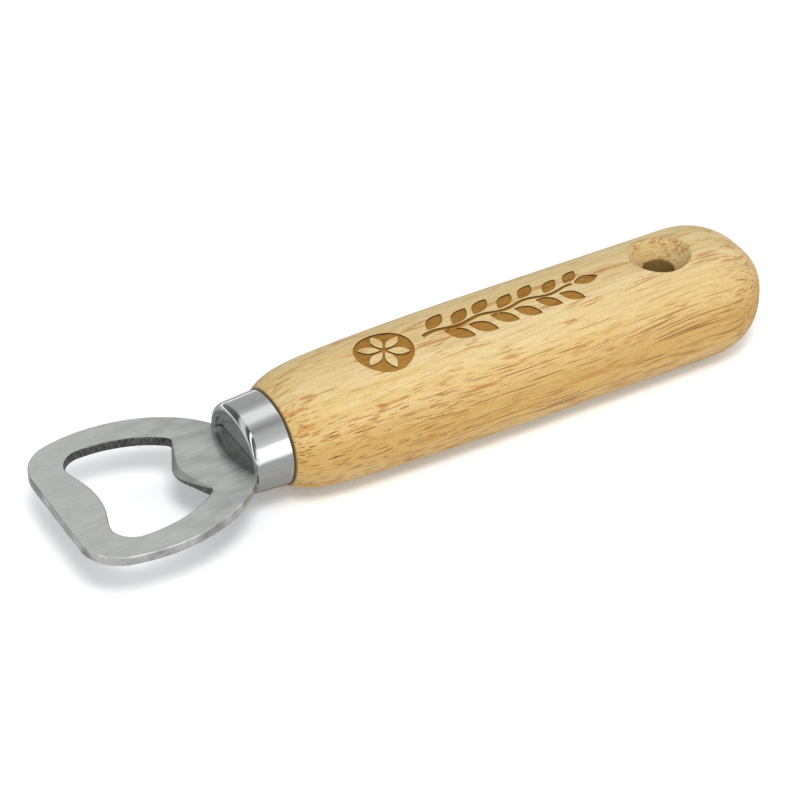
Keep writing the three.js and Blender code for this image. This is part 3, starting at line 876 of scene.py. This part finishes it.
def outward_normals(loop):
    points = np.array(loop)
    ahead = np.roll(points, -1, 0) - points
    ahead /= np.linalg.norm(ahead, axis=1)[:, None]
    back = np.roll(ahead, 1, 0)
    normal = np.stack([ahead[:, 1] + back[:, 1], -ahead[:, 0] - back[:, 0]], 1)
    normal /= np.linalg.norm(normal, axis=1)[:, None]
    cosine = (normal * np.stack([ahead[:, 1], -ahead[:, 0]], 1)).sum(1)
    return normal / np.clip(cosine, 0.6, 1)[:, None]


def opener_head():
    """The plate with its opening and tang, its edges rounded over."""
    bm = bmesh.new()
    rims = {"top": [], "bottom": []}
    for loop, side in ((head_outline(), 1), (opening_outline(), -1)):
        points = np.array(loop)
        normal = side * outward_normals(loop)
        tooth = np.array([on_tooth(x, y) if side < 0 else 0.0 for x, y in loop])
        over = EDGE_ROUNDING + (TOOTH_TOP_ROUNDING - EDGE_ROUNDING) * tooth
        under = EDGE_ROUNDING + (TOOTH_UNDER_ROUNDING - EDGE_ROUNDING) * tooth
        rings = []
        for level in range(2 * EDGE_STEPS + 2):
            upper = level <= EDGE_STEPS
            k = level if upper else 2 * EDGE_STEPS + 1 - level
            turn = k / EDGE_STEPS * math.pi / 2
            ease = over if upper else under
            at = points - normal * (ease * (1 - math.sin(turn)))[:, None]
            drop = ease * (1 - math.cos(turn))
            z = PLATE_TOP - drop if upper else PLATE_BOTTOM + drop
            rings.append(
                [
                    bm.verts.new(((HEAD_FRONT_X + x) * MM, y * MM, h * MM))
                    for (x, y), h in zip(at, z)
                ]
            )
        count = len(loop)
        for level, (a, b) in enumerate(zip(rings, rings[1:])):
            for i in range(count):
                k = (i + 1) % count
                face = bm.faces.new((a[i], b[i], b[k], a[k]))
                dressed = level < EDGE_STEPS and tooth[i] > 0.04
                face.material_index = 1 if side > 0 else 0 if dressed else 2
                face.smooth = True
        rims["top"].append(rings[0])
        rims["bottom"].append(rings[-1])
    for loops in rims.values():
        edges = [bm.edges.get(pair) for loop in loops for pair in zip(loop, loop[1:] + loop[:1])]
        filled = bmesh.ops.triangle_fill(bm, use_beauty=True, edges=edges)
        for face in filled["geom"]:
            if isinstance(face, bmesh.types.BMFace):
                face.material_index = 0
    bmesh.ops.recalc_face_normals(bm, faces=bm.faces)
    brushing = bm.loops.layers.uv.new("brushing")
    for face in bm.faces:
        for corner in face.loops:
            corner[brushing].uv = (corner.vert.co.x * 10, corner.vert.co.y * 10 + corner.vert.co.z)
    mesh = bpy.data.meshes.new("steel_head")
    bm.to_mesh(mesh)
    bm.free()
    mesh.materials.append(brushed_steel())
    # Its clouds up to a white 1.0 are partly the edge's own uneven tone and partly painted glints.
    mesh.materials.append(cut_steel("ground_edge_steel", 0.45, 1.0, contrast=0.75, grain=0.18))
    mesh.materials.append(cut_steel("sheared_edge_steel", 0.22, 0.36, contrast=0.25, grain=0.32))
    head = bpy.data.objects.new("steel_head", mesh)
    bpy.context.scene.collection.objects.link(head)
    return head


# ---------------------------------------------------------------- the ferrule
def ferrule_ring(at, inset):
    share = at / FERRULE_LENGTH
    w = (FERRULE_FRONT_WIDTH + (FERRULE_REAR_WIDTH - FERRULE_FRONT_WIDTH) * share) / 2
    h = (FERRULE_FRONT_HEIGHT + (FERRULE_REAR_HEIGHT - FERRULE_FRONT_HEIGHT) * share) / 2
    return at, w - inset, h - inset, FERRULE_ROUNDNESS


def quarter(steps):
    """Angles over a quarter turn."""
    return [i / steps * math.pi / 2 for i in range(steps + 1)]


def ferrule_rings():
    _, w, h, _ = ferrule_ring(0, 0)
    w, h = w - RECESS_SIDE_MARGIN, h - RECESS_TOP_MARGIN
    rings = [(RECESS_DEPTH, 0, 0, 2)]
    for turn in quarter(FILLET_STEPS):
        at = RECESS_DEPTH - RECESS_FILLET * (1 - math.cos(turn))
        left = RECESS_FILLET * (1 - math.sin(turn))
        rings.append((at, w - left, h - left, RECESS_ROUNDNESS))
    for turn in quarter(LIP_STEPS):
        out = RECESS_LIP * (1 - math.cos(turn))
        rings.append((RECESS_LIP * (1 - math.sin(turn)), w + out, h + out, RECESS_ROUNDNESS))
    for turn in quarter(NOSE_STEPS):
        x, fw, fh, n = ferrule_ring(FERRULE_NOSE_RADIUS * (1 - math.cos(turn)), 0)
        left = 1 - math.sin(turn)
        rings.append((x, fw - FERRULE_NOSE_SIDE * left, fh - FERRULE_NOSE_RADIUS * left, n))
    straight_to = FERRULE_LENGTH - FERRULE_REAR_BREAK - 0.05
    for at in np.linspace(FERRULE_NOSE_RADIUS, straight_to, SIDE_STEPS)[1:]:
        rings.append(ferrule_ring(at, 0))
    for turn in quarter(BREAK_STEPS):
        at = FERRULE_LENGTH - FERRULE_REAR_BREAK * (1 - math.sin(turn))
        rings.append(ferrule_ring(at, FERRULE_REAR_BREAK * (1 - math.cos(turn))))
    front_wall = RECESS_DEPTH + FERRULE_WALL
    rings.append(ferrule_ring(FERRULE_LENGTH, FERRULE_WALL))
    rings.append(ferrule_ring(front_wall + FERRULE_INNER_CORNER, FERRULE_WALL))
    rings.append(ferrule_ring(front_wall, FERRULE_WALL + FERRULE_INNER_CORNER))
    return rings + [(front_wall, 0, 0, 2)]


def ferrule():
    steel = polished_steel()
    skin = loft("polished_ferrule", ferrule_rings(), (FERRULE_FRONT_X, 0, AXIS_Z), material=steel)
    skin.data.materials.append(recess_steel())
    for face in skin.data.polygons:
        x, y, z = face.center / MM
        across = abs(y) / (FERRULE_FRONT_WIDTH / 2 - RECESS_SIDE_MARGIN + SKIN_MARGIN)
        up = abs(z - AXIS_Z) / (FERRULE_FRONT_HEIGHT / 2 - RECESS_TOP_MARGIN + SKIN_MARGIN)
        inside = across**RECESS_ROUNDNESS + up**RECESS_ROUNDNESS < 1
        if inside and x < FERRULE_FRONT_X + RECESS_DEPTH + SKIN_MARGIN / 2:
            face.material_index = 1
    centre, length, width = head_ellipse()
    turn = np.linspace(0, 2 * math.pi, NECK_STEPS, endpoint=False)
    neck = np.stack(
        [
            HEAD_FRONT_X + centre + (length + NECK_CLEARANCE) * np.cos(turn),
            (width + NECK_CLEARANCE) * np.sin(turn) + NECK_OFFSET,
        ],
        1,
    )
    slot = prism(
        "slot", neck, [], PLATE_BOTTOM - SLOT_CLEARANCE, PLATE_TOP + SLOT_CLEARANCE, material=steel
    )
    return smooth_shaded(without_slivers(combined(skin, slot, "DIFFERENCE")))


# ---------------------------------------------------------------- the handle
def handle_ring(at, inset=0.0):
    """The handle's section at a distance behind its shoulder, before the butt is rounded."""
    swell = math.exp(-at / SHOULDER_SWELL_LENGTH)
    taper = max(0.0, 1 - at / TAPER_LENGTH) ** 2
    wide = HANDLE_WIDTH - TAPER_WIDTH_LOSS
    high = HANDLE_HEIGHT - TAPER_HEIGHT_LOSS
    wide_swell = wide - FERRULE_REAR_WIDTH - 2 * SHOULDER_PROUD
    high_swell = high - FERRULE_REAR_HEIGHT - 2 * SHOULDER_PROUD
    w = (HANDLE_WIDTH - TAPER_WIDTH_LOSS * taper - wide_swell * swell) / 2
    h = (HANDLE_HEIGHT - TAPER_HEIGHT_LOSS * taper - high_swell * swell) / 2
    n = HANDLE_ROUNDNESS + (FERRULE_ROUNDNESS - HANDLE_ROUNDNESS) * swell
    return at, w - inset, h - inset, n


def handle_rings():
    spigot_front = ferrule_ring(FERRULE_LENGTH - SPIGOT_LENGTH, SPIGOT_INSET)
    spigot_rear = ferrule_ring(FERRULE_LENGTH, SPIGOT_INSET)
    rings = [(-SPIGOT_LENGTH, 0, 0, 2), (-SPIGOT_LENGTH, *spigot_front[1:]), (0, *spigot_rear[1:])]
    butt = HANDLE_LENGTH - BUTT_LENGTH
    for at, inset in SHOULDER_GROOVE:
        rings.append(handle_ring(at, inset))
    while at < butt:
        at += min(0.8, 0.2 + 0.05 * at)
        rings.append(handle_ring(min(at, butt)))
    _, w, h, n = handle_ring(butt)
    for turn in quarter(BUTT_STEPS)[1:-1]:
        reach = math.sin(turn)
        size = (1 - reach**BUTT_ROUNDNESS) ** (1 / BUTT_ROUNDNESS)
        rings.append((butt + BUTT_LENGTH * reach, w * size, h * size, n))
    return rings + [(HANDLE_LENGTH, 0, 0, 2)]


def leaf(x, y, angle, length, width):
    """A pointed oval from (x, y) along angle."""
    s = np.linspace(0, 1, LEAF_STEPS)
    half = width / 2 * np.sin(np.pi * s) ** 0.85
    upper = [(length * a, b) for a, b in zip(s, half)]
    lower = [(length * a, -b) for a, b in zip(s[::-1], half[::-1])][1:-1]
    c, d = math.cos(angle), math.sin(angle)
    return [(x + c * u - d * v, y + d * u + c * v) for u, v in upper + lower]


def burn_cutter(material):
    """A six-petalled rosette and a leafy sprig, as solids that end just under the handle's skin."""
    low, high = AXIS_Z + BURN_FOOT, AXIS_Z + HANDLE_HEIGHT / 2 + CUT_MARGIN
    disc = [
        (
            ROSETTE_AT.x + ROSETTE_RADIUS * math.cos(t),
            ROSETTE_AT.y + ROSETTE_RADIUS * math.sin(t),
        )
        for t in np.linspace(0, 2 * math.pi, ROSETTE_STEPS, endpoint=False)
    ]
    petals = [
        leaf(
            ROSETTE_AT.x + PETAL_FROM * math.cos(t),
            ROSETTE_AT.y + PETAL_FROM * math.sin(t),
            t,
            ROSETTE_RADIUS - PETAL_FROM - ROSETTE_RIM,
            PETAL_WIDTH,
        )
        for t in (math.tau * (i + 0.5) / ROSETTE_PETALS for i in range(ROSETTE_PETALS))
    ]
    cutter = prism("rosette", disc, petals, low, high, material)
    shapes = []
    step = (SPRIG_TO_X - SPRIG_FROM_X) / (SPRIG_LEAVES + 0.6)
    middle = ROSETTE_AT.y

    def stem_y(x):
        return middle + STEM_SWAY * math.sin((x - SPRIG_FROM_X) / step * math.pi)

    xs = np.linspace(SPRIG_FROM_X, SPRIG_TO_X - step, STEM_STEPS)
    half = STEM_HALF_WIDTH - STEM_TAPER * np.linspace(0, 1, STEM_STEPS)
    upper = [(x, stem_y(x) + h) for x, h in zip(xs, half)]
    lower = [(x, stem_y(x) - h) for x, h in zip(xs[::-1], half[::-1])]
    shapes.append(upper + lower)
    for i in range(SPRIG_LEAVES):
        x = SPRIG_FROM_X + step * (i + 0.35)
        length, width = (size * (1 - LEAF_SHRINK * i) for size in LEAF_SIZE)
        for side in (1, -1):
            at = x + (0.0 if side > 0 else step / 2)
            if at > SPRIG_TO_X - step * 1.1:
                continue
            y = stem_y(at) + side * LEAF_OFFSET
            shapes.append(leaf(at, y, side * LEAF_ANGLE, length, width))
    shapes.append(leaf(SPRIG_TO_X - step + 0.5, stem_y(SPRIG_TO_X - step), 0.0, *LAST_LEAF_SIZE))
    for i, shape in enumerate(shapes):
        cutter = combined(cutter, prism(f"sprig_{i}", shape, [], low, high, material), "UNION")
    core_rings = [
        (x, max(w - BURN_DEPTH, 0), max(h - BURN_DEPTH, 0), n)
        for x, w, h, n in (handle_ring(at) for at in np.arange(BURN_FROM, BURN_TO, CORE_STEP))
    ]
    core_rings = [(core_rings[0][0], 0, 0, 2)] + core_rings + [(core_rings[-1][0], 0, 0, 2)]
    core = loft("core", core_rings, (SHOULDER_X, 0, AXIS_Z), material=material)
    return combined(cutter, core, "DIFFERENCE")


def hang_hole_cutter(material):
    top, bottom = HANDLE_HEIGHT, 0.0
    slope = (COUNTERSINK_RADIUS - HANG_HOLE_RADIUS) / COUNTERSINK_DEPTH
    profile = [
        (0, bottom - CUT_MARGIN),
        (HANG_HOLE_RADIUS + HANG_HOLE_LOWER_CHAMFER + CUT_MARGIN, bottom - CUT_MARGIN),
        (HANG_HOLE_RADIUS, bottom + HANG_HOLE_LOWER_CHAMFER),
        (HANG_HOLE_RADIUS, top - COUNTERSINK_DEPTH),
        (COUNTERSINK_RADIUS + CUT_MARGIN * slope, top + CUT_MARGIN),
        (0, top + CUT_MARGIN),
    ]
    at = SHOULDER_X + HANDLE_LENGTH - HANG_HOLE_FROM_BUTT
    return lathe("hang_hole", profile, at, BORE_STEPS, material)


def handle():
    wood, burned, drilled = handle_wood(), burned_wood(), drilled_wood()
    body = loft("wooden_handle", handle_rings(), (SHOULDER_X, 0, AXIS_Z), material=wood)
    start = SHOULDER_X - SPIGOT_LENGTH - CUT_MARGIN
    length, r = TANG_BORE_END_X - start, TANG_BORE_RADIUS
    bore_rings = [(0, 0, 0, 2), (0, r, r, 2), (length, r, r, 2), (length, 0, 0, 2)]
    bore = loft("bore", bore_rings, (start, 0, PLATE_Z), TANG_BORE_STEPS, drilled)
    body = combined(body, bore, "DIFFERENCE")
    body = combined(body, hang_hole_cutter(drilled), "DIFFERENCE")
    body = combined(body, burn_cutter(burned), "DIFFERENCE")
    return smooth_shaded(without_slivers(body))


# ---------------------------------------------------------------- studio
def studio_floor():
    """A pale floor that the camera sees as white, where nothing shades it.

    Rays from the steel meet a grey floor under the object, painted shade, and the white one further
    out.
    """
    half = FLOOR_HALF / MM
    corners = [(-half, -half, 0), (half, -half, 0), (half, half, 0), (-half, half, 0)]
    floor = mesh_object("studio_floor", corners, [(0, 1, 2, 3)])
    material, tree = new_material("studio_floor")
    shader = next(n for n in tree.nodes if n.type == "BSDF_PRINCIPLED")
    rays = node(tree, "ShaderNodeLightPath").outputs
    place = node(tree, "ShaderNodeTexCoord").outputs["Object"]
    reach = node(tree, "ShaderNodeVectorMath", {0: place}, operation="LENGTH").outputs["Value"]
    outer = ranged(tree, reach, FLOOR_NEAR, FLOOR_MIRRORED_WHITE)
    mirrored_far = calc(tree, "MULTIPLY", rays["Is Glossy Ray"], outer)
    mirrored_floor_shade = calc(tree, "SUBTRACT", rays["Is Glossy Ray"], mirrored_far)
    colour = blended(tree, rays["Is Camera Ray"], grey(0.92), (0.94, 0.955, 0.98, 1))
    # The grey that only the steel sees near the object is painted shade.
    colour = blended(tree, mirrored_floor_shade, colour, grey(0.46))
    surface(material, {"Base Color": colour, "Roughness": 0.9, "Specular IOR Level": 0.0})

    # The floor glows a little, more so further out, so that it meets the white background.
    seen = calc(tree, "ADD", rays["Is Camera Ray"], mirrored_far)
    seen = calc(tree, "ADD", seen, rays["Is Transmission Ray"], clamp=True)
    lift = ranged(tree, reach, FLOOR_NEAR, FLOOR_FAR, FLOOR_LIFT, FAR_FLOOR_LIFT)
    glow = node(tree, "ShaderNodeEmission", {0: grey(1.0), 1: calc(tree, "MULTIPLY", seen, lift)})
    both = node(tree, "ShaderNodeAddShader", {0: shader.outputs[0], 1: glow.outputs[0]})
    output = next(n for n in tree.nodes if n.type == "OUTPUT_MATERIAL")
    tree.links.new(both.outputs[0], output.inputs["Surface"])
    floor.data.materials.append(material)


def tone_ramp(tree, value, stops):
    return ramp(tree, value, [(at, grey(tone)) for at, tone in stops])


def studio_world():
    """A light tent of cards and gaps, which only the object sees: the camera sees plain white.

    Its tone follows one direction, over the object from the near side to the far side, and it
    differs over the head's end, over the handle and far behind the butt.
    """
    world = bpy.data.worlds.new("studio")
    bpy.context.scene.world = world
    world.use_nodes = True
    tree = world.node_tree
    direction = node(tree, "ShaderNodeTexCoord").outputs["Generated"]
    split = node(tree, "ShaderNodeSeparateXYZ", {0: direction})
    along, across = split.outputs[0], ranged(tree, split.outputs[1], -1, 1, smooth=False)
    over_head = tone_ramp(tree, across, TENT_OVER_HEAD)
    over_handle = tone_ramp(tree, across, TENT_OVER_HANDLE)
    behind_butt = tone_ramp(tree, across, TENT_BEHIND_BUTT)
    tent = blended(tree, ranged(tree, along, -0.2, 0.1), over_head, over_handle)
    tent = blended(tree, ranged(tree, along, 0.5, 0.8), tent, behind_butt)
    rays = node(tree, "ShaderNodeLightPath").outputs
    seen = calc(tree, "ADD", rays["Is Camera Ray"], rays["Is Transmission Ray"], clamp=True)
    background = next(n for n in tree.nodes if n.type == "BACKGROUND")
    tree.links.new(blended(tree, seen, tent, grey(1.0)), background.inputs["Color"])
    background.inputs["Strength"].default_value = 1.0


def key_lamp():
    """A soft lamp over the near side. The steel doesn't mirror it."""
    data = bpy.data.lights.new("key", "AREA")
    data.shape = "RECTANGLE"
    data.size, data.size_y = KEY_SIZE, KEY_SIZE
    data.energy = KEY_POWER
    lamp = bpy.data.objects.new("key", data)
    lamp.location = KEY_PLACE
    lamp.rotation_euler = (-KEY_PLACE).to_track_quat("-Z", "Y").to_euler()
    lamp.visible_glossy = False
    bpy.context.scene.collection.objects.link(lamp)


def camera():
    level = math.cos(CAMERA_ELEVATION)
    forward = Vector(
        (
            -math.sin(CAMERA_AZIMUTH) * level,
            math.cos(CAMERA_AZIMUTH) * level,
            -math.sin(CAMERA_ELEVATION),
        )
    )
    right = forward.cross(Vector((0, 0, 1))).normalized()
    up = right.cross(forward)
    data = bpy.data.cameras.new("camera")
    data.lens, data.sensor_width = CAMERA_LENS, SENSOR_WIDTH
    data.clip_start, data.clip_end = 0.01, 50
    seat = bpy.data.objects.new("camera", data)
    turned = Matrix((right, up, -forward)).transposed().to_4x4()
    seat.matrix_world = Matrix.Translation(CAMERA_PLACE) @ turned
    bpy.context.scene.collection.objects.link(seat)
    bpy.context.scene.camera = seat


# ---------------------------------------------------------------- the scene
camera()
studio_world()
studio_floor()
key_lamp()

steel_head = opener_head()
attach(steel_head, "root")
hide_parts("opener_head")

polished_ferrule = ferrule()
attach(polished_ferrule, "root")
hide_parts("ferrule")

wooden_handle = handle()
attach(wooden_handle, "root")
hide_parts("handle")

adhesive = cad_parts["tang_adhesive"]
adhesive.data.materials.clear()
adhesive.data.materials.append(cured_adhesive())

bpy.context.scene.view_settings.view_transform = "Standard"
